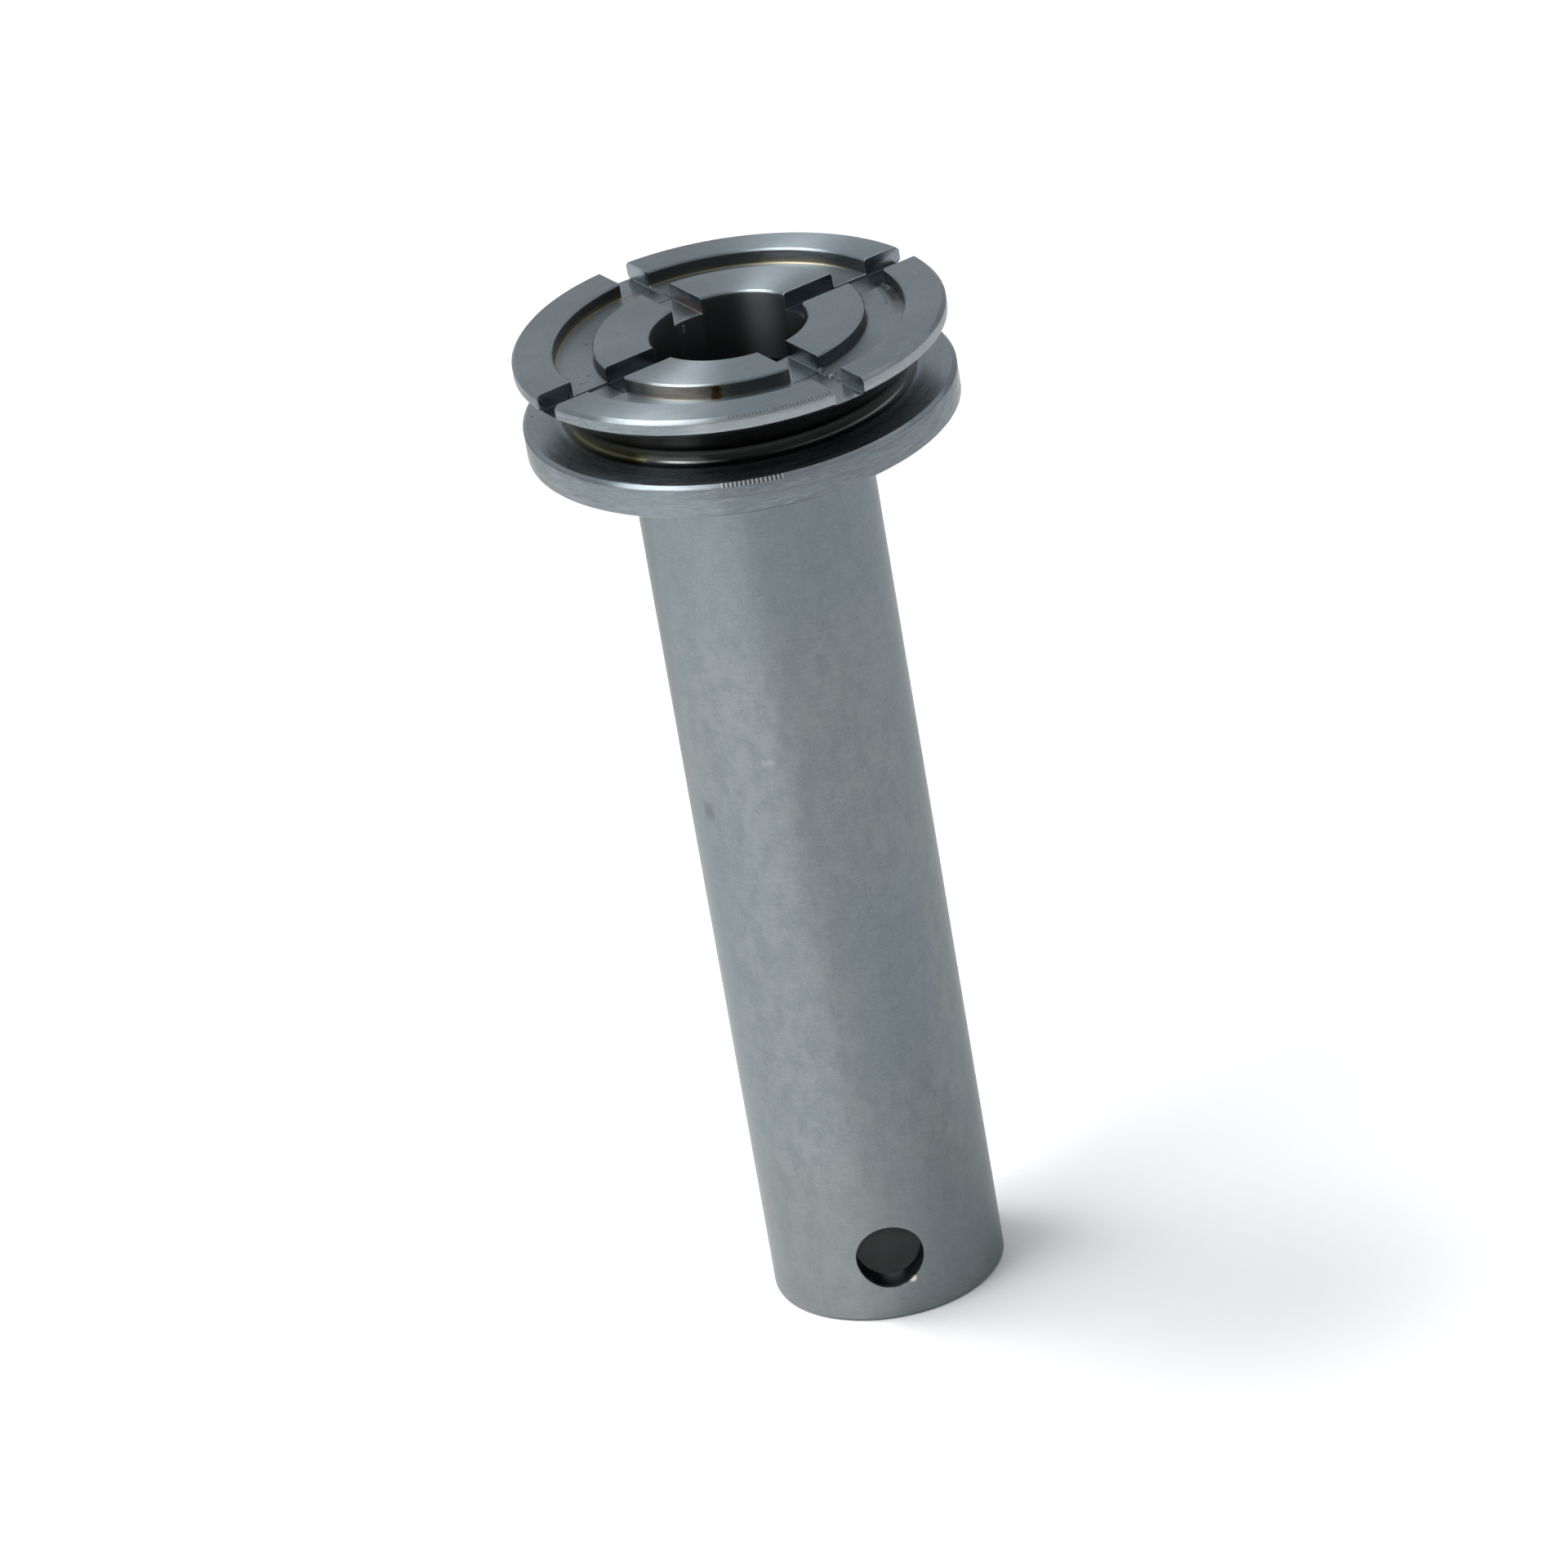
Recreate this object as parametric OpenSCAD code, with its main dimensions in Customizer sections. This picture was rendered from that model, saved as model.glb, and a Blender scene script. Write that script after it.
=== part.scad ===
// Flanged spindle sleeve: a ground steel tube with a turned, two-flange head.
// The face of the head has two ring lands, an annular groove and four radial slots.
// Frame: millimetres, +Z from the foot of the stem towards the face of the head.
// Origin: centre of the foot, on the axis of the bores.

/* [Stem] */
// Height from the foot of the stem to the face of the head
total_h = 224.5; // [180:0.5:300]
// Outside diameter of the ground stem
stem_d = 50; // [47:0.5:54]
// Diameter of the bore that runs through the stem
stem_bore_d = 38; // [36:0.5:39]
// Edge break on the outside of the foot
foot_break = 0.6; // [0.2:0.1:1.5]
// Edge break at the mouth of the stem's bore
foot_bore_break = 0.6; // [0.2:0.1:1.5]
// Diameter of the cross-hole near the foot
cross_d = 14.5; // [8:0.5:18]
// Height of the cross-hole's centre above the foot
cross_z = 15; // [12:0.5:40]

/* [Upper flange] */
// Outside diameter of the upper flange
upper_d = 90.6; // [86:0.2:100]
// Height of the upper flange's rim, edge break included
rim_h = 3; // [2.4:0.1:4]
// Edge break on the outside of the face
rim_break = 0.8; // [0.3:0.1:1.2]

/* [Face of the head] */
// Diameter of the bore that runs through the head into the stem's bore
bore_d = 33; // [28:0.5:35.5]
// Outside diameter of the inner ring land
hub_d = 56.8; // [50:0.2:60]
// Inside diameter of the outer ring land
land_d = 73.4; // [70:0.2:78]
// Depth of the annular groove between the lands
groove_depth = 3.3; // [2.5:0.1:3.6]
// Width of the four radial slots
slot_w = 7; // [5:0.5:10]
// Depth of the four radial slots below the face
slot_depth = 3.7; // [3.6:0.1:4.5]
// Angle of the first slot from the +X axis, in degrees
slot_angle = 28.4; // [0:0.1:89.9]
// Edge break on the lands and at the mouth of the bore
land_break = 0.4; // [0.2:0.1:0.8]

/* [Neck groove] */
// Diameter at the root of the neck groove
neck_d = 71; // [67:0.5:74]
// Depth from the face to the upper side of the lower flange
neck_floor = 14.7; // [13.8:0.1:20]
// Radius at the root of the neck groove
neck_r = 3; // [1:0.5:3]
// Slope of the neck groove's upper side, in degrees below level
cone_angle = 40; // [35:1:42]

/* [Lower flange] */
// Outside diameter of the lower flange
lower_d = 90.8; // [86:0.2:100]
// Height of the lower flange
lower_h = 7; // [6:0.5:12]
// Edge break on the upper edge of the lower flange
lower_break = 0.8; // [0.3:0.1:1.5]
// Diameter of the stem's spigot, which is pressed into the lower flange
spigot_d = 46; // [42:0.5:46]
// Depth of the spigot's socket in the lower flange
socket_depth = 6; // [4:0.5:6]
// Height of the cone between the spigot and the stem's full diameter
seat_h = 2; // [1:0.5:3]

/* [Hidden] */
$fn = 96;
under_z = total_h - neck_floor - lower_h;
stem_top = under_z + socket_depth;
cone_drop = (upper_d - neck_d) / 2 * tan(cone_angle);
small_break = 0.3;
steel_stem = [0.50, 0.53, 0.55];
steel_head = [0.60, 0.62, 0.64];

// One half of the head's section, from the bore outwards; y = 0 is the face.
module head_section() {
    difference() {
        polygon([
            [bore_d / 2 + land_break, 0],
            [hub_d / 2 - land_break, 0],
            [hub_d / 2, -land_break],
            [hub_d / 2, -groove_depth],
            [land_d / 2, -groove_depth],
            [land_d / 2, -land_break],
            [land_d / 2 + land_break, 0],
            [upper_d / 2 - rim_break, 0],
            [upper_d / 2, -rim_break],
            [upper_d / 2, -rim_h],
            [neck_d / 2, -rim_h - cone_drop],
            [neck_d / 2, -neck_floor + neck_r],
            [neck_d / 2 + neck_r, -neck_floor + neck_r],
            [neck_d / 2 + neck_r, -neck_floor],
            [lower_d / 2 - lower_break, -neck_floor],
            [lower_d / 2, -neck_floor - lower_break],
            [lower_d / 2, -neck_floor - lower_h + small_break],
            [lower_d / 2 - small_break, -neck_floor - lower_h],
            [stem_d / 2, -neck_floor - lower_h],
            [spigot_d / 2, -neck_floor - lower_h + seat_h],
            [spigot_d / 2, -neck_floor - lower_h + socket_depth],
            [bore_d / 2, -neck_floor - lower_h + socket_depth],
            [bore_d / 2, -land_break]
        ]);
        // Root radius between the neck and the lower flange.
        translate([neck_d / 2 + neck_r, -neck_floor + neck_r])
            intersection() {
                circle(r = neck_r);
                translate([-2 * neck_r, -2 * neck_r])
                    square(2 * neck_r);
            }
    }
}

module flanged_head() {
    color(steel_head)
    difference() {
        translate([0, 0, total_h])
            rotate_extrude()
                head_section();
        // Two crossing cuts make the four radial slots in both lands.
        for (turn = [0, 90])
            translate([0, 0, total_h])
                rotate([0, 0, slot_angle + turn])
                    translate([-upper_d, -slot_w / 2, -slot_depth])
                        cube([2 * upper_d, slot_w, slot_depth + 1]);
    }
}

module stem_tube() {
    color(steel_stem)
    difference() {
        rotate_extrude()
            polygon([
                [stem_bore_d / 2 + foot_bore_break, 0],
                [stem_d / 2 - foot_break, 0],
                [stem_d / 2, foot_break],
                [stem_d / 2, under_z],
                [spigot_d / 2, under_z + seat_h],
                [spigot_d / 2, stem_top],
                [stem_bore_d / 2, stem_top],
                [stem_bore_d / 2, foot_bore_break]
            ]);
        // Cross-hole through both walls.
        translate([0, 0, cross_z])
            rotate([90, 0, 0])
                cylinder(d = cross_d, h = stem_d + 2, center = true);
    }
}

stem_tube();
flanged_head();
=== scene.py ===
import math
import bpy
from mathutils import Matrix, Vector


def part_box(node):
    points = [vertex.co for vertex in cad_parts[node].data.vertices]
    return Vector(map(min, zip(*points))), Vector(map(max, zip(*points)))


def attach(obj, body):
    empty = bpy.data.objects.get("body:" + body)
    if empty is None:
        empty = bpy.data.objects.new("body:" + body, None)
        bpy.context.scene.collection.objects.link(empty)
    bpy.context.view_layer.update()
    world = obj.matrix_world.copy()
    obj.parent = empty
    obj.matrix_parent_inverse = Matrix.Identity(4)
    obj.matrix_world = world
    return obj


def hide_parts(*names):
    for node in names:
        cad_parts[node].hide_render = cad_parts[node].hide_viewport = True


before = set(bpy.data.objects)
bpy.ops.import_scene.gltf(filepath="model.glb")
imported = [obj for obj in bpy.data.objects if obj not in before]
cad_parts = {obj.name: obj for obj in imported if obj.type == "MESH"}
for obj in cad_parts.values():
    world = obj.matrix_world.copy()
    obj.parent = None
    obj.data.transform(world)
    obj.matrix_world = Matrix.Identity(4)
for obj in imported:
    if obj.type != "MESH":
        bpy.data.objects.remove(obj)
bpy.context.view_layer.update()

from types import SimpleNamespace

import bmesh
import bpy
from mathutils import Matrix, Vector

# Flanged spindle sleeve: a ground tube with a turned, two-flange head.
# Lengths in this script are millimetres on the object and become metres in the meshes.

MM = 0.001
HEAD_LOW, HEAD_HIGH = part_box("flanged_head")
FACE = HEAD_HIGH.z / MM            # level of the face
UNDER = HEAD_LOW.z / MM            # underside of the lower flange
STEM_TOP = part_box("stem_tube")[1].z / MM    # end of the spigot in the head

BORE_R = 16.5
STEM_R, STEM_BORE_R = 25.0, 19.0
SPIGOT_R, SEAT_H = 23.0, 2.0
CROSS_R, CROSS_Z = 7.25, 15.0
UPPER_R, RIM_H = 45.3, 3.0
LOWER_R, LOWER_H = 45.4, 7.0
HUB_R, LAND_R = 28.4, 36.7
GROOVE, SLOT, SLOT_HALF, SLOT_ANGLE = 3.3, 3.7, 3.5, 28.4
NECK_R, NECK_FLOOR, ROOT_R = 35.5, 14.7, 3.0
CONE = math.tan(math.radians(40.0))
LAND_BREAK, RIM_BREAK, FOOT_BREAK, SMALL_BREAK = 0.4, 0.8, 0.6, 0.3
JOINT_GAP = 0.02                   # keeps the two pieces' hidden faces apart
ROOT_HIGHLIGHT = -13.62                 # depth of the painted highlight line at the root of the neck


# ---------------------------------------------------------------- meshes

def rounded(corners, steps=3):
    """A section line from (r, z, corner radius) points, with each corner turned into an arc."""
    out = []
    for i, (x, y, rad) in enumerate(corners):
        p = Vector((x, y))
        if rad <= 0 or i in (0, len(corners) - 1):
            out.append((p.x, p.y))
            continue
        u = Vector(corners[i - 1][:2]) - p
        v = Vector(corners[i + 1][:2]) - p
        u.normalize()
        v.normalize()
        half = u.angle(v) / 2
        centre = p + (u + v).normalized() * (rad / math.sin(half))
        a = p + u * (rad / math.tan(half)) - centre
        b = p + v * (rad / math.tan(half)) - centre
        turn = a.angle(b)
        n = max(steps, round(math.degrees(turn) / 9) if rad > 0.6 else steps)
        for k in range(n + 1):
            t = k / n
            w = (a * math.sin((1 - t) * turn) + b * math.sin(t * turn)) / math.sin(turn)
            out.append((centre.x + w.x, centre.y + w.y))
    return out


def mesh_object(name, verts, faces, bevels=(), sharp=32):
    """Mesh in metres. bevels holds (edge keys, width, segments), cut in that order."""
    bm = bmesh.new()
    vs = [bm.verts.new((x * MM, y * MM, z * MM)) for x, y, z in verts]
    for f in faces:
        bm.faces.new([vs[i] for i in f])
    bmesh.ops.recalc_face_normals(bm, faces=bm.faces)
    groups = []
    for keys, width, segments in bevels:
        groups.append(([bm.edges.get((vs[a], vs[b])) for a, b in keys], width, segments))
    for edges, width, segments in groups:
        live = [e for e in edges if e is not None and e.is_valid]
        bmesh.ops.bevel(bm, geom=live, offset=width * MM, segments=segments, profile=0.5,
                        affect="EDGES", clamp_overlap=True)
    mesh = bpy.data.meshes.new(name)
    bm.to_mesh(mesh)
    bm.free()
    mesh.shade_smooth()
    mesh.set_sharp_from_angle(angle=math.radians(sharp))
    obj = bpy.data.objects.new(name, mesh)
    bpy.context.scene.collection.objects.link(obj)
    return obj


def make_head():
    """Head: four land sectors over the slot floors, and a full ring below them."""
    n_sector, n_arm = 84, 8
    cut_r = UPPER_R - (SLOT - RIM_H) / CONE      # where the cone passes the slot floor
    top = rounded([
        (BORE_R, -SLOT, 0), (BORE_R, -LAND_BREAK, 0.1), (BORE_R + LAND_BREAK, 0, 0.1),
        (HUB_R - LAND_BREAK, 0, 0.1), (HUB_R, -LAND_BREAK, 0.1), (HUB_R, -GROOVE, 0.22),
        (LAND_R, -GROOVE, 0.3), (LAND_R, -LAND_BREAK, 0.1), (LAND_R + LAND_BREAK, 0, 0.1),
        (UPPER_R - RIM_BREAK, 0, 0.12), (UPPER_R, -RIM_BREAK, 0.12), (UPPER_R, -RIM_H, 0.12),
        (cut_r, -SLOT, 0)], 2)
    outer = rounded([
        (cut_r, -SLOT, 0), (NECK_R, -RIM_H - (UPPER_R - NECK_R) * CONE, 0.9),
        (NECK_R, -NECK_FLOOR, ROOT_R), (LOWER_R - RIM_BREAK, -NECK_FLOOR, 0.12),
        (LOWER_R, -NECK_FLOOR - RIM_BREAK, 0.12), (LOWER_R, -NECK_FLOOR - LOWER_H + SMALL_BREAK, 0.08),
        (LOWER_R - SMALL_BREAK, -NECK_FLOOR - LOWER_H, 0.08),
        (STEM_R + 0.9, -NECK_FLOOR - LOWER_H, 0)], 2)
    under = UNDER - FACE
    socket_end = STEM_TOP - FACE + JOINT_GAP
    inner = [(STEM_R + SMALL_BREAK, under), (STEM_R + JOINT_GAP, under + SMALL_BREAK),
             (SPIGOT_R + JOINT_GAP, under + SEAT_H + JOINT_GAP), (SPIGOT_R + JOINT_GAP, socket_end),
             (BORE_R + 0.12, socket_end), (BORE_R, STEM_TOP - FACE + 0.14)]
    verts, faces = [], []

    def put(r, a, z):
        verts.append((r * math.cos(a), r * math.sin(a), FACE + z))
        return len(verts) - 1

    def delta(r):
        return math.asin(SLOT_HALF / r)

    start = [math.radians(SLOT_ANGLE + 90 * k) for k in range(4)]
    floor_radii = [BORE_R, 18.5, 21, 24, HUB_R, 32, LAND_R, 40, 42.5, cut_r]
    slot_edges, floors = [], []
    ids_out, ids_in = [], []            # vertices round the cut circle and round the bore
    for a0 in start:                    # slot floors
        rows = []
        for r in floor_radii:
            d = delta(r)
            rows.append([put(r, a0 - d + 2 * d * j / n_arm, -SLOT) for j in range(n_arm + 1)])
        for lower, upper in zip(rows, rows[1:]):
            for j in range(n_arm):
                faces.append((lower[j], upper[j], upper[j + 1], lower[j + 1]))
        floors.append(rows)
    for k, a0 in enumerate(start):      # land sectors
        left = [row[-1] for row in floors[k]]
        right = [row[0] for row in floors[(k + 1) % 4]]
        grid = []
        for i, (r, z) in enumerate(top):
            d = delta(r)
            first, last = i == 0, i == len(top) - 1
            row = []
            for j in range(n_sector + 1):
                if j == 0 and (first or last):
                    row.append(left[0] if first else left[-1])
                elif j == n_sector and (first or last):
                    row.append(right[0] if first else right[-1])
                else:
                    row.append(put(r, a0 + d + (math.pi / 2 - 2 * d) * j / n_sector, z))
            grid.append(row)
        for lower, upper in zip(grid, grid[1:]):
            for j in range(n_sector):
                faces.append((lower[j], lower[j + 1], upper[j + 1], upper[j]))
        for side, floor_line in ((0, left), (n_sector, right)):
            edge = [row[side] for row in grid]
            faces.append(edge + floor_line[-2:0:-1])
            slot_edges += list(zip(edge, edge[1:]))
        ids_out += floors[k][-1] + grid[-1][1:-1]
        ids_in += floors[k][0] + grid[0][1:-1]
    ang_out = [math.atan2(verts[v][1], verts[v][0]) for v in ids_out]
    ang_in = [math.atan2(verts[v][1], verts[v][0]) for v in ids_in]
    n = len(ids_out)

    def ring(r, z, mix):
        row = []
        for a, b in zip(ang_out, ang_in):
            turn = (b - a + math.pi) % (2 * math.pi) - math.pi
            row.append(put(r, a + turn * mix, z))
        return row

    rows = [ids_out] + [ring(r, z, 0) for r, z in outer[1:]]
    rows += [ring(r, z, (i + 1) / len(inner)) for i, (r, z) in enumerate(inner)]
    rows.append(ids_in)
    for upper, lower in zip(rows, rows[1:]):
        for j in range(n):
            faces.append((upper[j], upper[(j + 1) % n], lower[(j + 1) % n], lower[j]))
    for ids in (ids_out, ids_in):
        for k in range(4):
            base = k * n // 4
            slot_edges += [(ids[base + j], ids[base + j + 1]) for j in range(n_arm)]
    return mesh_object("turned_head", verts, faces, [(slot_edges, 0.07, 2)])


def make_stem():
    """Stem: inner and outer wall on one grid, with the cross-hole's mouths worked into it."""
    half, cells, side = math.radians(30), 32, 48
    low, high = CROSS_Z - 11.0, CROSS_Z + 11.0
    columns = []
    for base in (0.0, math.pi):
        columns += [base - half + 2 * half * j / cells for j in range(cells)]
        columns += [base + half + (math.pi - 2 * half) * j / side for j in range(side)]
    n = len(columns)
    levels = [low + (high - low) * i / cells for i in range(cells + 1)]
    levels += [high + (UNDER - 0.9 - high) * i / 20 for i in range(1, 21)]
    verts, faces, mouths = [], [], []

    def put(r, a, z):
        verts.append((r * math.sin(a), -r * math.cos(a), z))
        return len(verts) - 1

    def wall(radius):
        ids = {}
        for i, z in enumerate(levels):
            for j, a in enumerate(columns):
                hidden = i < cells and 0 < i and (0 < j % (n // 2) < cells)
                if not hidden:
                    ids[i, j] = put(radius, a, z)
        for i in range(len(levels) - 1):
            for j in range(n):
                if i < cells and j % (n // 2) < cells:
                    continue
                k = (j + 1) % n
                faces.append((ids[i, j], ids[i, k], ids[i + 1, k], ids[i + 1, j]))
        holes = []
        for base_j, base_a in ((0, 0.0), (n // 2, math.pi)):
            border = [(0, j) for j in range(cells)] + [(i, cells) for i in range(cells)]
            border += [(cells, j) for j in range(cells, 0, -1)] + [(i, 0) for i in range(cells, 0, -1)]
            square = [ids[i, (base_j + j) % n] for i, j in border]
            rings = []
            spots = [(-half + 2 * half * j / cells, levels[i]) for i, j in border]
            turns = [math.atan2(z - CROSS_Z, STEM_R * math.sin(a)) for a, z in spots]
            for mix in (0.0, 0.035, 0.08, 0.16, 0.28, 0.44, 0.68):
                row = []
                for (a, z), t in zip(spots, turns):
                    a0 = math.asin(CROSS_R * math.cos(t) / radius)
                    z0 = CROSS_Z + CROSS_R * math.sin(t)
                    row.append(put(radius, base_a + a0 + (a - a0) * mix, z0 + (z - z0) * mix))
                rings.append(row)
            rings.append(square)
            m = len(square)
            for inner, outer in zip(rings, rings[1:]):
                for j in range(m):
                    faces.append((inner[j], inner[(j + 1) % m], outer[(j + 1) % m], outer[j]))
            holes.append(rings[0])
        return ids, holes

    out_ids, out_holes = wall(STEM_R)
    in_ids, in_holes = wall(STEM_BORE_R)
    for a, b in zip(out_holes, in_holes):
        m = len(a)
        for j in range(m):
            k = (j + 1) % m
            faces.append((a[j], b[j], b[k], a[k]))
        mouths += [(a[j], a[(j + 1) % m]) for j in range(m)]
    inner_mouths = []
    for b in in_holes:
        inner_mouths += [(b[j], b[(j + 1) % len(b)]) for j in range(len(b))]

    def sweep(first, line, last):
        rows = [first] + [[put(r, a, z) for a in columns] for r, z in line] + [last]
        for a, b in zip(rows, rows[1:]):
            for j in range(n):
                k = (j + 1) % n
                faces.append((a[j], a[k], b[k], b[j]))

    foot = rounded([(STEM_R, low, 0), (STEM_R, FOOT_BREAK, 0.25), (STEM_R - FOOT_BREAK, 0, 0.25),
                    (STEM_BORE_R + FOOT_BREAK, 0, 0.2), (STEM_BORE_R, FOOT_BREAK, 0.2),
                    (STEM_BORE_R, low, 0)], 3)[1:-1]
    sweep([out_ids[0, j] for j in range(n)], foot, [in_ids[0, j] for j in range(n)])
    top = len(levels) - 1
    shoulder = [(STEM_R, UNDER), (SPIGOT_R, UNDER + SEAT_H)]
    spigot = rounded([(SPIGOT_R, UNDER + SEAT_H, 0), (SPIGOT_R, STEM_TOP, 0.3),
                      (STEM_BORE_R, STEM_TOP, 0.1), (STEM_BORE_R, UNDER, 0)], 2)[1:-1]
    sweep([out_ids[top, j] for j in range(n)], shoulder + spigot, [in_ids[top, j] for j in range(n)])
    return mesh_object("ground_stem", verts, faces, [(mouths, 0.3, 3), (inner_mouths, 0.15, 2)])


# ---------------------------------------------------------------- shader helpers

class Shader:
    """Small writer for node materials; most calls add a node and return its output socket."""

    def __init__(self, name):
        self.material = bpy.data.materials.new(name)
        self.material.use_nodes = True
        self.tree = self.material.node_tree
        self.tree.nodes.clear()
        self.cache = {}

    def node(self, kind, **settings):
        n = self.tree.nodes.new(kind)
        for key, value in settings.items():
            setattr(n, key, value)
        return n

    def plug(self, socket, value):
        if hasattr(value, "is_linked"):
            self.tree.links.new(value, socket)
        else:
            socket.default_value = value

    def math(self, op, a, b=None):
        n = self.node("ShaderNodeMath", operation=op)
        for i, v in enumerate((a, b)):
            if v is not None:
                self.plug(n.inputs[i], v)
        return n.outputs[0]

    def add(self, a, b):
        return self.math("ADD", a, b)

    def mul(self, a, b):
        return self.math("MULTIPLY", a, b)

    def step(self, value, low, high, out_low=0.0, out_high=1.0):
        n = self.node("ShaderNodeMapRange", interpolation_type="SMOOTHSTEP")
        self.plug(n.inputs[0], value)
        for i, v in enumerate((low, high, out_low, out_high)):
            n.inputs[i + 1].default_value = v
        return n.outputs[0]

    def band(self, value, centre, half, soft):
        """1 within half of centre, falling to 0 over soft."""
        away = self.math("ABSOLUTE", self.math("SUBTRACT", value, centre))
        return self.step(away, half, half + soft, 1.0, 0.0)

    def mix(self, factor, a, b):
        n = self.node("ShaderNodeMix", data_type="RGBA")
        self.plug(n.inputs[0], factor)
        self.plug(n.inputs[6], a)
        self.plug(n.inputs[7], b)
        return n.outputs[2]

    def blend(self, factor, a, b):
        n = self.node("ShaderNodeMix", data_type="FLOAT")
        self.plug(n.inputs[0], factor)
        self.plug(n.inputs[2], a)
        self.plug(n.inputs[3], b)
        return n.outputs[0]

    def vector(self, x, y, z):
        n = self.node("ShaderNodeCombineXYZ")
        for i, v in enumerate((x, y, z)):
            self.plug(n.inputs[i], v)
        return n.outputs[0]

    def noise(self, vector, scale, detail=2.0, rough=0.5, w=None, dim="3D"):
        n = self.node("ShaderNodeTexNoise", noise_dimensions=dim)
        self.plug(n.inputs["Vector"], vector)
        n.inputs["Scale"].default_value = scale
        n.inputs["Detail"].default_value = detail
        n.inputs["Roughness"].default_value = rough
        if w is not None:
            self.plug(n.inputs["W"], w)
        return n.outputs[0]

    def distance(self, x, y, z):
        """Distance in millimetres from a point."""
        n = self.node("ShaderNodeVectorMath", operation="DISTANCE")
        self.plug(n.inputs[0], self.place()[0])
        n.inputs[1].default_value = (x, y, z)
        return n.outputs["Value"]

    def place(self):
        """The place as a vector and as x, y, z, all in millimetres, the radius, and the angle
        from the front in degrees."""
        if "place" not in self.cache:
            at = self.node("ShaderNodeTexCoord").outputs["Object"]
            scale = self.node("ShaderNodeVectorMath", operation="SCALE")
            self.plug(scale.inputs[0], at)
            scale.inputs["Scale"].default_value = 1 / MM
            split = self.node("ShaderNodeSeparateXYZ")
            self.plug(split.inputs[0], scale.outputs[0])
            x, y, z = split.outputs
            r = self.math("SQRT", self.add(self.mul(x, x), self.mul(y, y)))
            phi = self.math("DEGREES", self.math("ARCTAN2", x, self.mul(y, -1.0)))
            self.cache["place"] = (scale.outputs[0], x, y, z, r, phi)
        return self.cache["place"]

    def rings(self, fine, along, detail=2.0, rough=0.5):
        """Turning marks: noise that changes fast across the cut and slowly round the axis."""
        _, x, y, z, r, _ = self.place()
        cx = self.mul(self.math("DIVIDE", x, r), along)
        cy = self.mul(self.math("DIVIDE", y, r), along)
        return self.noise(self.vector(cx, cy, self.mul(r, fine)), 1.0, detail, rough,
                          w=self.mul(z, fine), dim="4D")

    def bump(self, height, strength, distance):
        n = self.node("ShaderNodeBump")
        n.inputs["Strength"].default_value = strength
        n.inputs["Distance"].default_value = distance
        self.plug(n.inputs["Height"], height)
        return n.outputs[0]

    def metal(self, color, roughness, normal, anisotropy, edge):
        """Ends the material: brushed metal; edge is its tone at a grazing angle."""
        p = self.node("ShaderNodeBsdfPrincipled")
        p.inputs["Metallic"].default_value = 1.0
        p.inputs["Specular Tint"].default_value = (edge, edge, edge, 1)
        self.plug(p.inputs["Base Color"], color)
        self.plug(p.inputs["Roughness"], roughness)
        self.plug(p.inputs["Normal"], normal)
        p.inputs["Anisotropic"].default_value = anisotropy
        p.inputs["Anisotropic Rotation"].default_value = 0.25
        tangent = self.node("ShaderNodeTangent", direction_type="RADIAL", axis="Z")
        self.plug(p.inputs["Tangent"], tangent.outputs[0])
        out = self.node("ShaderNodeOutputMaterial")
        self.plug(out.inputs["Surface"], p.outputs[0])


def head_fields(s):
    """The coordinates, noises and masks that the marks on the head share."""
    at, x, y, z, r, phi = s.place()
    depth = s.math("SUBTRACT", z, FACE)                 # 0 at the face, negative below it
    under_rim = s.mul(s.step(depth, -3.25, -2.95, 1, 0), s.step(r, 44.3, 44.5))
    neck = s.math("MAXIMUM", under_rim, s.step(depth, -3.95, -3.78, 1, 0))
    neck = s.mul(neck, s.mul(s.step(depth, -14.65, -14.3, 0, 1), s.step(r, 30.0, 31.0)))
    turn = math.radians(SLOT_ANGLE)
    along_1 = s.math("ABSOLUTE", s.add(s.mul(x, math.cos(turn)), s.mul(y, math.sin(turn))))
    along_2 = s.math("ABSOLUTE", s.add(s.mul(x, -math.sin(turn)), s.mul(y, math.cos(turn))))
    across = s.math("MINIMUM", along_1, along_2)
    slot_wall = s.mul(s.band(across, SLOT_HALF, 0.06, 0.05), s.step(depth, -3.8, -3.75))
    in_bore = s.mul(s.step(r, BORE_R + 0.05, BORE_R + 0.25, 1, 0), s.step(depth, -0.9, -0.5, 1, 0))
    wall = s.mul(s.band(r, HUB_R, 0.25, 0.2), s.step(depth, -0.5, -0.3, 1, 0))
    return SimpleNamespace(
        x=x, y=y, r=r, phi=phi, depth=depth, across=across, neck=neck, in_bore=in_bore, wall=wall,
        slot_wall=slot_wall, rim=s.mul(s.step(r, 45.15, 45.28), s.step(depth, -0.95, -0.75, 1, 0)),
        fine=s.rings(4.5, 14.0, 2.0, 0.6), wide=s.rings(1.1, 3.0, 3.0, 0.55),
        patch=s.noise(at, 0.09, 3.0, 0.6), speck=s.noise(at, 1.1, 2.0, 0.6),
        grain=s.noise(at, 3.2, 2.0, 0.7))


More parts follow.
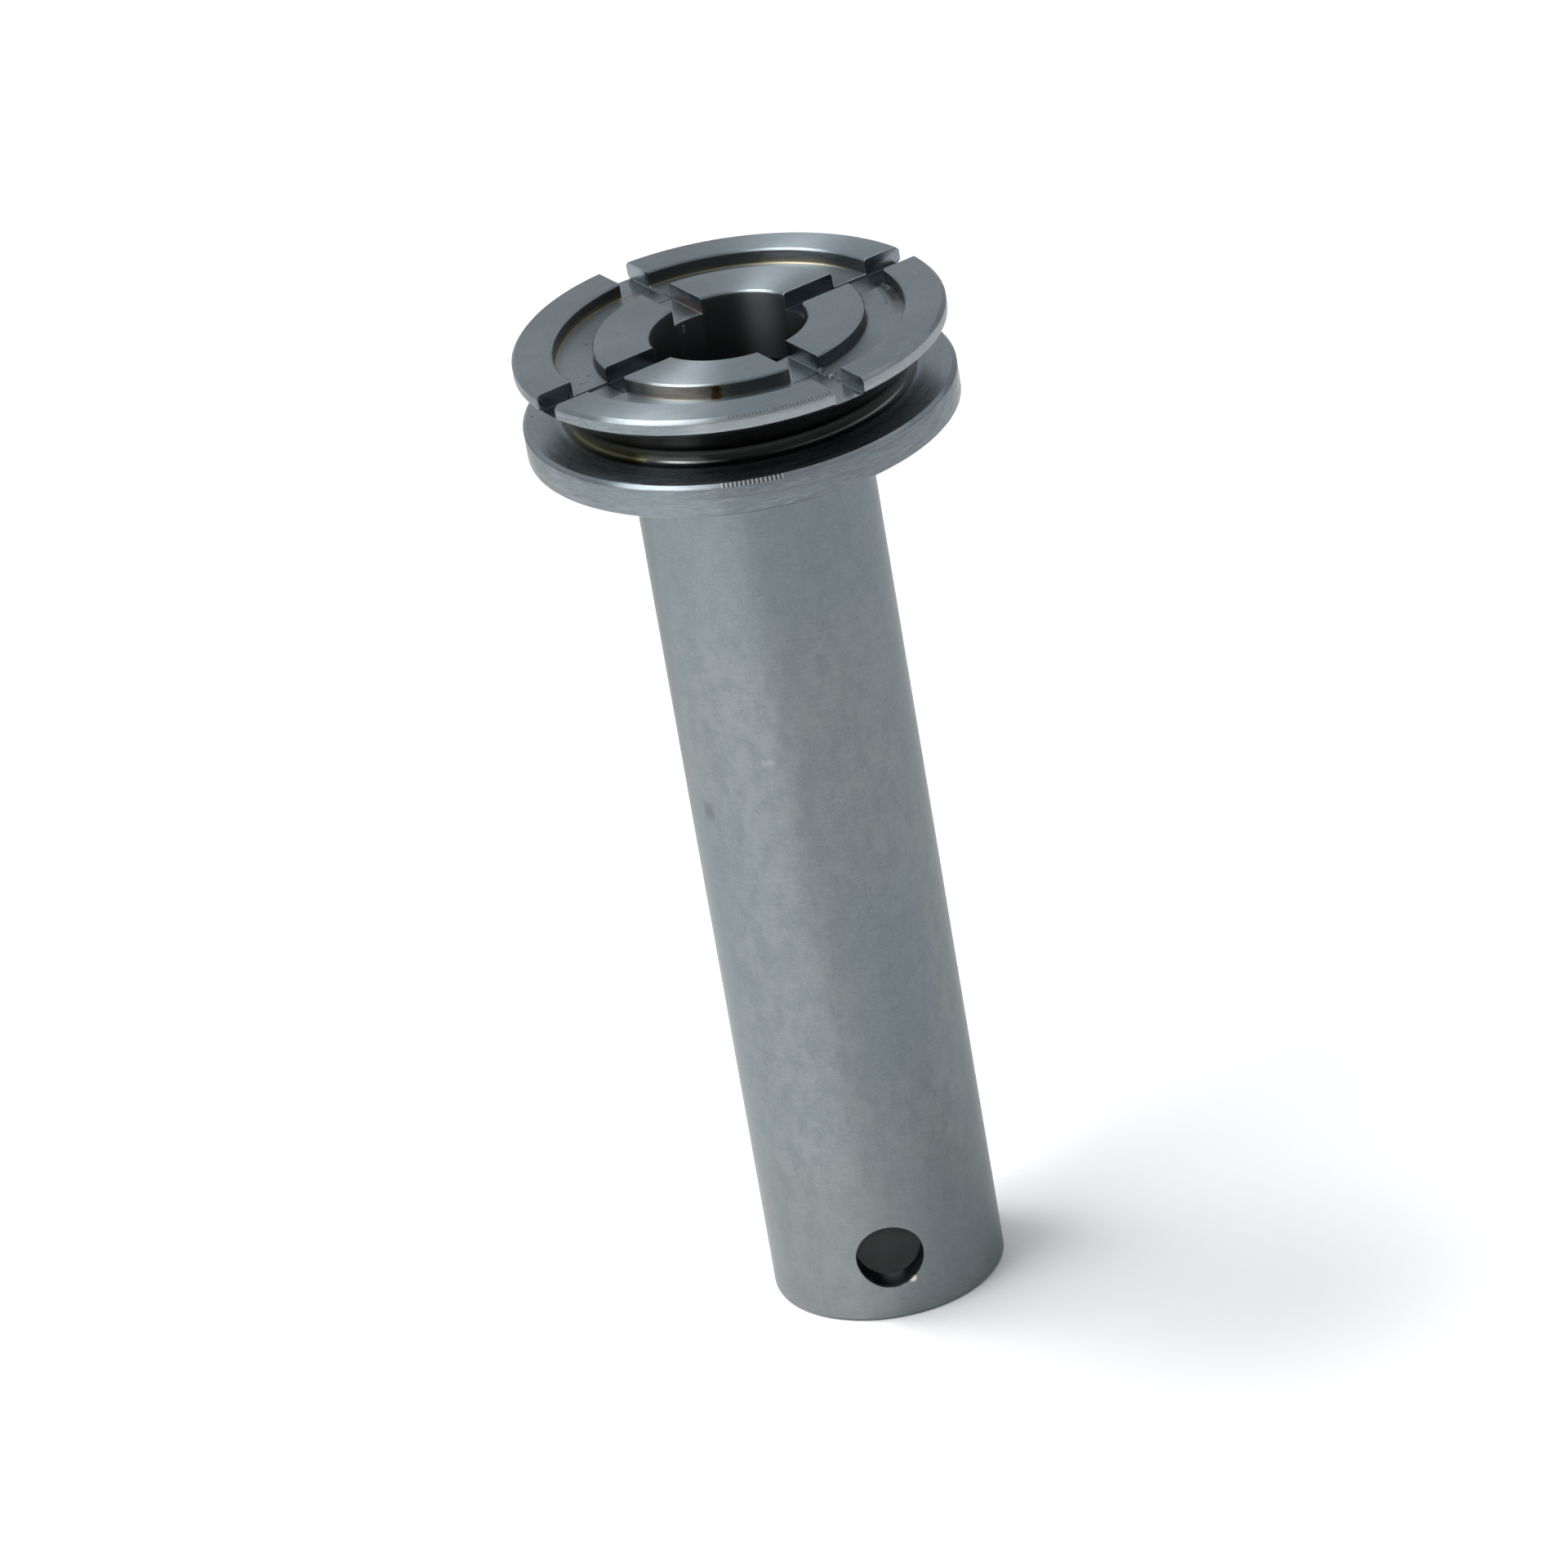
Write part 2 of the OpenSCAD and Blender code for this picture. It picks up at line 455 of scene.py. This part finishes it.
def head_steel(s, f):
    """Turned steel, with painted shade over the neck and a painted highlight line at its root."""
    phi, depth, fine, wide, patch = f.phi, f.depth, f.fine, f.wide, f.patch
    grain, neck, rim = f.grain, f.neck, f.rim
    color = s.mix(s.step(patch, 0.35, 0.7), (0.205, 0.240, 0.262, 1), (0.235, 0.270, 0.288, 1))
    color = s.mix(s.mul(s.step(fine, 0.40, 0.62), 0.30), color, (0.150, 0.180, 0.200, 1))
    color = s.mix(s.mul(s.step(grain, 0.45, 0.8), 0.30), color, (0.320, 0.350, 0.365, 1))
    color = s.mix(s.mul(rim, 0.35), color, (0.120, 0.136, 0.142, 1))
    color = s.mix(s.mul(rim, s.mul(s.step(fine, 0.45, 0.6), 0.25)), color, (0.100, 0.115, 0.122, 1))
    # painted shade: the whole neck is set almost black
    neck_shade = s.mix(s.step(wide, 0.35, 0.65), (0.034, 0.036, 0.035, 1), (0.040, 0.042, 0.041, 1))
    color = s.mix(neck, color, neck_shade)
    # painted highlight along the root fillet, strongest at the front left
    ring = s.mul(s.band(depth, ROOT_HIGHLIGHT, 0.10, 0.16), neck)
    color = s.mix(s.mul(ring, s.mul(s.band(phi, 36, 14, 24), 0.9)), color, (0.22, 0.23, 0.23, 1))
    color = s.mix(s.mul(ring, s.mul(s.band(phi, -20, 5, 9), 0.9)), color, (0.40, 0.41, 0.41, 1))
    return color


def bore_marks(s, f, color):
    """A rougher bore with painted shade, darker further down, a painted sheen streak on the right of its
    back, and a light fleck.
    """
    phi, depth, fine, wide, grain, in_bore = f.phi, f.depth, f.fine, f.wide, f.grain, f.in_bore
    # painted shade: the bore is set much darker than the rest of the head
    color = s.mix(in_bore, color, (0.076, 0.083, 0.085, 1))
    # painted sheen on the right of the bore's back
    painted_sheen = s.mul(in_bore, s.band(s.add(phi, s.mul(wide, 5.0)), 161, 2, 15))
    painted_sheen = s.mul(painted_sheen, s.blend(s.step(fine, 0.35, 0.65), 0.6, 1.0))
    color = s.mix(s.mul(painted_sheen, 0.22), color, (0.155, 0.168, 0.170, 1))
    # painted shade, deepening further down the bore
    color = s.mix(s.mul(in_bore, s.step(depth, -15.0, -4.0, 0.65, 0.0)), color, (0.030, 0.032, 0.033, 1))
    fleck = s.mul(in_bore, s.mul(s.band(phi, -147, 0.5, 0.5), s.band(depth, -5.3, 0.9, 0.3)))
    color = s.mix(s.mul(fleck, s.step(grain, 0.45, 0.55)), color, (0.45, 0.46, 0.46, 1))
    return color


def groove_walls(s, f, color):
    """Painted highlights, painted shade and oil on the walls of the annular groove."""
    x, y, r, phi, depth, wall = f.x, f.y, f.r, f.phi, f.depth, f.wall
    # painted highlight line at the foot of the inner land, painted shade on its groove wall, and painted
    # warm light on its front wall
    foot = s.mul(s.band(r, HUB_R + 0.15, 0.10, 0.15), s.band(depth, -GROOVE, 0.12, 0.15))
    foot = s.mul(foot, s.band(phi, -18, 22, 14))
    color = s.mix(s.mul(foot, 0.8), color, (0.75, 0.74, 0.70, 1))
    # painted shade on the inner land's groove wall
    color = s.mix(s.mul(wall, 0.85), color, (0.090, 0.098, 0.102, 1))
    warm_light = s.mul(wall, s.band(phi, -26, 11, 15))
    color = s.mix(s.mul(warm_light, 0.75), color, (0.28, 0.25, 0.215, 1))
    # painted shade on the wall of the outer land, darkest on the left
    land_wall_shade = s.mul(s.mul(s.band(r, LAND_R, 0.15, 0.15), s.band(depth, -1.9, 1.3, 0.15)), s.step(y, -20, -8))
    land_wall_shade = s.mul(land_wall_shade, s.step(x, -30.0, 0.0, 0.95, 0.6))
    color = s.mix(land_wall_shade, color, (0.052, 0.052, 0.046, 1))
    # golden oil at the foot of the outer land, with a painted highlight line along it
    back = s.mul(s.step(y, -16.0, -4.0), s.step(x, 22.0, 29.0, 1, 0))
    corner = s.mul(s.mul(s.band(r, LAND_R, 0.2, 0.6), s.band(depth, -GROOVE, 0.3, 1.1)), back)
    color = s.mix(s.mul(corner, 0.65), color, (0.20, 0.165, 0.095, 1))
    # painted highlight: a golden line in the corner
    line = s.mul(s.mul(s.band(r, LAND_R - 0.2, 0.15, 0.3), s.band(depth, -GROOVE, 0.15, 0.25)), back)
    line = s.mul(line, s.step(x, -34.0, 8.0, 0.15, 0.65))
    color = s.mix(line, color, (0.60, 0.55, 0.41, 1))
    return color


def oil_film(s, f, color):
    """Yellow-green oil along the root of the neck, on the left, with a painted highlight line through it.
    """
    r, phi, depth = f.r, f.phi, f.depth
    film = s.mul(s.band(phi, -56, 19, 1.5), s.band(depth, -13.3, 0.8, 0.7))
    film = s.mul(film, s.mul(s.step(r, 30.0, 31.0), s.step(r, 38.0, 38.8, 1, 0)))
    color = s.mix(s.mul(film, 0.9), color, (0.030, 0.030, 0.014, 1))
    # painted highlight on the oil along the root line
    oil_highlight = s.mul(film, s.mul(s.band(depth, ROOT_HIGHLIGHT, 0.12, 0.25), 0.9))
    color = s.mix(oil_highlight, color, (0.095, 0.094, 0.050, 1))
    return color


def groove_stains(s, f, color):
    """Rust, a dark stain with painted shade on the floor below it, and a scratch in the annular groove."""
    r, phi, depth, speck, grain, wall = f.r, f.phi, f.depth, f.speck, f.grain, f.wall
    # rust on the front wall of the inner land
    spot = s.mul(wall, s.band(s.add(phi, s.mul(speck, 6.0)), -7.4, 1.5, 1.2))
    color = s.mix(spot, color, (0.055, 0.032, 0.014, 1))
    color = s.mix(s.mul(spot, s.step(grain, 0.5, 0.6)), color, (0.17, 0.080, 0.022, 1))
    # dark stain on the groove's wall, on the right
    stain = s.mul(s.band(phi, 107, 7, 6), s.band(r, 36.2, 0.9, 1.4))
    stain = s.mul(stain, s.band(depth, -2.4, 1.8, 0.2))
    color = s.mix(s.mul(s.mul(stain, s.step(speck, 0.34, 0.5)), 0.9), color, (0.020, 0.022, 0.022, 1))
    # painted shade on the groove floor below the stain
    floor_shade = s.mul(s.mul(s.band(phi, 98, 5, 9), s.band(r, 36.0, 0.8, 1.8)), s.band(depth, -3.7, 0.5, 0.1))
    color = s.mix(s.mul(floor_shade, 0.45), color, (0.070, 0.075, 0.075, 1))
    bow = s.add(r, s.mul(s.add(phi, -96.0), -0.06))
    scratch = s.mul(s.band(bow, 33.3, 0.10, 0.15), s.band(phi, 103, 6, 2))
    scratch = s.mul(scratch, s.band(depth, -3.7, 0.5, 0.1))
    color = s.mix(s.mul(scratch, 0.55), color, (0.050, 0.053, 0.053, 1))
    return color


def slot_marks(s, f, color):
    """Warm tint and painted highlight lines in the slots."""
    x, y, depth, across = f.x, f.y, f.depth, f.across
    # warm tint on the back-left slot's wall
    tint = s.mul(s.band(x, -7.2, 2.6, 1.5), s.band(y, 19.0, 5.0, 2.0))
    tint = s.mul(tint, s.band(depth, -2.8, 0.4, 0.6))
    color = s.mix(s.mul(tint, 0.7), color, (0.22, 0.12, 0.065, 1))
    # painted highlight line where a slot's wall meets its floor
    seam_highlight = s.mul(s.band(across, SLOT_HALF - 0.06, 0.10, 0.05), s.band(depth, -SLOT, 0.10, 0.06))
    color = s.mix(s.mul(seam_highlight, 0.55), color, (0.50, 0.53, 0.54, 1))
    return color


def edge_marks(s, f, color):
    """Painted highlights, painted shade and chatter marks with painted glints on the rims and edge breaks
    of both flanges.
    """
    r, phi, depth, speck, rim = f.r, f.phi, f.depth, f.speck, f.rim
    # painted highlight on the edge breaks at the front, painted shade on them at the right
    on_edge = s.step(r, 44.45, 44.6)
    upper_break = s.band(depth, -0.4, 0.42, 0.08)
    lower_break = s.band(depth, -NECK_FLOOR - 0.4, 0.42, 0.08)
    breaks = s.mul(s.math("MAXIMUM", upper_break, lower_break), on_edge)
    color = s.mix(s.mul(breaks, s.mul(s.band(phi, 14, 24, 12), 0.6)), color, (0.42, 0.45, 0.47, 1))
    color = s.mix(s.mul(breaks, s.mul(s.band(phi, 90, 18, 14), 0.6)), color, (0.090, 0.102, 0.110, 1))
    # painted highlight on the upper rim at the front right
    rim_highlight = s.mul(s.mul(rim, s.step(depth, -4.0, -3.5)), s.band(phi, 28, 38, 12))
    color = s.mix(s.mul(rim_highlight, 0.6), color, (0.36, 0.39, 0.40, 1))
    # painted shade on the lower rim towards both sides
    rim_side_shade = s.mul(s.mul(rim, s.step(depth, -14.0, -13.5, 1, 0)), s.step(s.math("ABSOLUTE", phi), 62, 84))
    color = s.mix(s.mul(rim_side_shade, 0.55), color, (0.085, 0.097, 0.102, 1))
    # chatter marks on the edge breaks of both flanges; on the lower one as dark stripes and painted glints
    low = s.mul(s.mul(s.band(depth, -NECK_FLOOR - 0.4, 0.36, 0.1), s.band(phi, -1.4, 7.9, 0.8)), on_edge)
    chatter_and_glints = s.math("SINE", s.mul(phi, 5.5))
    color = s.mix(s.mul(low, s.step(chatter_and_glints, 0.2, 0.7)), color, (0.12, 0.13, 0.135, 1))
    color = s.mix(s.mul(low, s.step(chatter_and_glints, -0.5, 0.0, 1, 0)), color, (0.66, 0.69, 0.70, 1))
    high = s.mul(s.mul(s.band(depth, -0.15, 0.3, 0.12), s.band(phi, 9.5, 14.0, 1.5)), on_edge)
    jagged = s.math("SINE", s.add(s.mul(phi, 6.2), s.mul(speck, 9.0)))
    color = s.mix(s.mul(high, s.step(jagged, -0.2, 0.5, 0.0, 0.7)), color, (0.15, 0.17, 0.18, 1))
    return color


# x, y and depth in millimetres, read from the photo: burrs in the slots' corners, and dark specks
# on the groove's floor and the lower flange.
BURRS = ((-33.9, -14.3, -2.9), (16.6, -23.0, -3.4), (18.7, -26.4, -3.4))
SPECKS = ((-29.4, 10.1, -GROOVE), (-30.0, -5.7, -GROOVE), (-31.8, -8.9, -GROOVE),
          (-23.5, -17.0, -GROOVE), (-43.1, 4.6, -NECK_FLOOR))


def burrs_and_specks(s, f, color):
    """Burrs with dirt and painted glints in the corners of the slots, and small dark specks."""
    speck, grain = f.speck, f.grain
    for px, py, depth in BURRS:
        near = s.distance(px, py, FACE + depth)
        dirt = s.mul(s.step(near, 0.7, 1.5, 1, 0), s.step(speck, 0.35, 0.5))
        color = s.mix(s.mul(dirt, 0.7), color, (0.03, 0.032, 0.032, 1))
        # painted glint on each burr
        burr_glint = s.mul(s.step(near, 0.55, 0.9, 1, 0), s.step(grain, 0.50, 0.54))
        color = s.mix(burr_glint, color, (0.80, 0.81, 0.81, 1))
    for px, py, depth in SPECKS:
        near = s.distance(px, py, FACE + depth)
        color = s.mix(s.step(near, 0.2, 0.45, 0.8, 0), color, (0.018, 0.018, 0.018, 1))
    return color


def head_finish(s, f):
    """Roughness and bump; the neck and the floors and walls of the slots are smoother."""
    depth, fine, wide, neck, in_bore, slot_wall = f.depth, f.fine, f.wide, f.neck, f.in_bore, f.slot_wall
    land = s.step(depth, -0.08, -0.02)
    rough = s.blend(s.step(wide, 0.3, 0.7), 0.22, 0.30)
    rough = s.add(rough, s.mul(s.step(fine, 0.3, 0.7), 0.07))
    floor = s.band(depth, -SLOT, 0.05, 0.06)
    groove_floor = s.band(depth, -GROOVE, 0.05, 0.06)
    rough = s.blend(groove_floor, rough, 0.33)
    rough = s.blend(floor, rough, 0.27)
    rough = s.blend(slot_wall, rough, 0.22)
    rough = s.blend(neck, rough, 0.22)
    rough = s.blend(land, rough, 0.36)
    rough = s.blend(in_bore, rough, 0.45)
    height = s.add(s.mul(fine, 0.6), s.mul(wide, 0.4))
    smooth = s.math("MAXIMUM", s.math("MAXIMUM", floor, neck), slot_wall)
    smooth = s.math("MAXIMUM", smooth, s.mul(groove_floor, 0.7))
    height = s.blend(smooth, height, 0.5)
    return rough, s.bump(height, 0.25, 0.00006)


def head_material():
    s = Shader("turned_steel")
    f = head_fields(s)
    color = head_steel(s, f)
    for paint in (bore_marks, groove_walls, oil_film, groove_stains, slot_marks, edge_marks,
                  burrs_and_specks):
        color = paint(s, f, color)
    rough, normal = head_finish(s, f)
    s.metal(color, rough, normal, 0.88, 0.85)
    return s.material


def stem_material():
    s = Shader("ground_steel")
    at, x, y, z, r, phi = s.place()
    fine = s.rings(3.0, 6.0, 3.0, 0.6)
    drawn = s.vector(x, y, s.mul(z, 0.6))
    mottle = s.noise(drawn, 0.27, 5.0, 0.68)
    cloud = s.noise(drawn, 0.03, 2.0, 0.5)
    grain = s.noise(at, 1.6, 3.0, 0.7)
    color = s.mix(s.step(mottle, 0.34, 0.66), (0.164, 0.188, 0.196, 1), (0.212, 0.236, 0.240, 1))
    high = s.step(s.add(z, s.mul(cloud, 30.0)), 168, 190)
    low = s.mul(s.band(phi, 28, 14, 16), s.band(z, 80, 12, 22))
    blue = s.mul(s.math("MAXIMUM", s.math("MAXIMUM", high, low), s.step(cloud, 0.5, 0.65)), 0.38)
    color = s.mix(blue, color, (0.150, 0.196, 0.216, 1))
    color = s.mix(s.mul(s.step(fine, 0.42, 0.62), 0.16), color, (0.130, 0.150, 0.158, 1))
    color = s.mix(s.mul(s.step(grain, 0.42, 0.70), 0.26), color, (0.275, 0.295, 0.300, 1))
    color = s.mix(s.mul(s.step(z, 26, 44, 1, 0), 0.2), color, (0.215, 0.205, 0.200, 1))
    out_wall = s.step(r, STEM_R - 0.5, STEM_R - 0.2)
    smudge = s.mul(s.band(phi, -59, 1.5, 4.0), s.band(z, 121.5, 0.6, 2.2))
    smudge = s.mul(s.mul(smudge, out_wall), s.step(grain, 0.2, 0.5))
    color = s.mix(s.mul(smudge, 0.6), color, (0.075, 0.085, 0.088, 1))
    dash = s.mul(s.band(s.add(phi, s.mul(grain, 3.0)), -16.4, 2.0, 2.5), s.band(z, 135.4, 0.15, 1.0))
    color = s.mix(s.mul(s.mul(dash, out_wall), 0.24), color, (0.40, 0.42, 0.425, 1))
    # painted shade inside the stem's bore
    stem_bore_shade = s.step(r, STEM_R - 1.2, STEM_R - 0.6, 1, 0)
    stem_bore_shade = s.mul(stem_bore_shade, s.step(z, 0.1, 0.5, 0, 1))
    color = s.mix(s.mul(stem_bore_shade, 0.75), color, (0.06, 0.068, 0.072, 1))
    # painted reflection: a lighter bluish band on the foot's edge break
    color = s.mix(s.mul(s.step(z, 0.45, 0.75, 1, 0), out_wall), color, (0.30, 0.36, 0.39, 1))
    # painted warm glint on the lip of the cross-hole
    glint = s.step(s.distance(4.0, -24.5, 8.9), 0.5, 1.1, 1, 0)
    color = s.mix(s.mul(glint, 0.8), color, (0.85, 0.74, 0.62, 1))
    rough = s.blend(s.step(mottle, 0.3, 0.7), 0.30, 0.37)
    rough = s.add(rough, s.mul(s.step(fine, 0.3, 0.7), 0.05))
    height = s.add(s.mul(fine, 0.5), s.mul(grain, 0.5))
    normal = s.bump(height, 0.14, 0.00008)
    s.metal(color, rough, normal, 0.65, 0.75)
    return s.material


# ---------------------------------------------------------------- pieces

head = make_head()
stem = make_stem()
head.data.materials.append(head_material())
stem.data.materials.append(stem_material())
for piece, cad_node, slot in ((head, "flanged_head", "turned_steel"), (stem, "stem_tube", "ground_steel")):
    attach(piece, "root")
    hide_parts(cad_node)


# ---------------------------------------------------------------- floor, light, camera

def plain_floor():
    mesh = bpy.data.meshes.new("floor")
    size = 6.0
    mesh.from_pydata([(-size, -size, 0), (size, -size, 0), (size, size, 0), (-size, size, 0)], [],
                     [(0, 1, 2, 3)])
    floor = bpy.data.objects.new("floor", mesh)
    bpy.context.scene.collection.objects.link(floor)
    mat = bpy.data.materials.new("pale_floor")
    mat.use_nodes = True
    p = mat.node_tree.nodes["Principled BSDF"]
    p.inputs["Base Color"].default_value = (0.96, 0.96, 0.96, 1)
    p.inputs["Roughness"].default_value = 0.9
    p.inputs["Specular IOR Level"].default_value = 0.1
    mesh.materials.append(mat)


def area_light(name, place, target, size, size_y, power, spread=180.0, across=None):
    """Softbox at place, aimed at target; across sets the direction of its first side."""
    light = bpy.data.lights.new(name, "AREA")
    light.shape = "RECTANGLE"
    light.size, light.size_y = size, size_y
    light.energy = power
    light.spread = math.radians(spread)
    obj = bpy.data.objects.new(name, light)
    back = (Vector(place) - Vector(target)).normalized()
    side = Vector(across or Vector((0, 0, 1)).cross(back))
    side = (side - back * side.dot(back)).normalized()
    axes = Matrix((side, back.cross(side), back)).transposed()
    obj.matrix_world = Matrix.Translation(place) @ axes.to_4x4()
    bpy.context.scene.collection.objects.link(obj)


def studio_world():
    """Soft surroundings: bright behind the object, dim on the camera's side, lighter overhead."""
    world = bpy.data.worlds.new("studio")
    bpy.context.scene.world = world
    world.use_nodes = True
    tree = world.node_tree
    tree.nodes.clear()
    where = tree.nodes.new("ShaderNodeTexCoord")
    split = tree.nodes.new("ShaderNodeSeparateXYZ")
    tree.links.new(where.outputs["Generated"], split.inputs[0])

    def ramp(axis, low, high, out_low, out_high):
        n = tree.nodes.new("ShaderNodeMapRange")
        n.interpolation_type = "SMOOTHSTEP"
        tree.links.new(split.outputs[axis], n.inputs[0])
        for i, v in enumerate((low, high, out_low, out_high)):
            n.inputs[i + 1].default_value = v
        return n.outputs[0]

    total = tree.nodes.new("ShaderNodeMath")
    total.operation = "ADD"
    tree.links.new(ramp(1, -0.45, 0.5, 0.27, 0.76), total.inputs[0])
    tree.links.new(ramp(2, 0.55, 1.0, 0.0, 0.25), total.inputs[1])
    back = tree.nodes.new("ShaderNodeBackground")
    back.inputs["Color"].default_value = (0.97, 1.0, 1.02, 1)
    tree.links.new(total.outputs[0], back.inputs["Strength"])
    out = tree.nodes.new("ShaderNodeOutputWorld")
    tree.links.new(back.outputs[0], out.inputs[0])


def photo_camera():
    elevation, azimuth, roll = math.radians(26.676), math.radians(-0.609), math.radians(9.864)
    target, distance = Vector((-0.00481, 0.00005, 0.11808)), 2.0716
    back = Vector((math.sin(azimuth) * math.cos(elevation), -math.cos(azimuth) * math.cos(elevation),
                   math.sin(elevation)))
    data = bpy.data.cameras.new("camera")
    data.sensor_width = 36.0
    data.lens = 225.785
    data.clip_start, data.clip_end = 0.05, 60.0
    cam = bpy.data.objects.new("camera", data)
    bpy.context.scene.collection.objects.link(cam)
    turn = (-back).to_track_quat("-Z", "Y").to_matrix() @ Matrix.Rotation(-roll, 3, "Z")
    cam.matrix_world = Matrix.Translation(target + back * distance) @ turn.to_4x4()
    bpy.context.scene.camera = cam


plain_floor()
studio_world()
area_light("key_softbox", (-0.81, -0.35, 1.4), (0, 0, 0.2), 0.82, 1.0, 9.0)
area_light("left_softbox", (-1.19, -0.83, 0.85), (0, 0, 0.2), 1.2, 0.8, 6.0)
area_light("top_softbox", (-0.9, 0.5, 2.4), (0, 0, 0), 2.6, 2.6, 8.5, spread=24)
# A gridded strip brightens the floor to the left of a line through the axis, 20 degrees off the front.
left = Vector((-math.cos(math.radians(20)), math.sin(math.radians(20)), 0))
front = Vector((-math.sin(math.radians(20)), -math.cos(math.radians(20)), 0))
area_light("floor_strip", left * 0.65 + front * 0.65 + Vector((0, 0, 0.7)),
           left * 0.5 + front * 0.65, 1.0, 1.6, 1.8, spread=4, across=left)
photo_camera()

bpy.context.scene.view_settings.view_transform = "Standard"
bpy.context.scene.view_settings.look = "None"

bpy.context.view_layer.update()
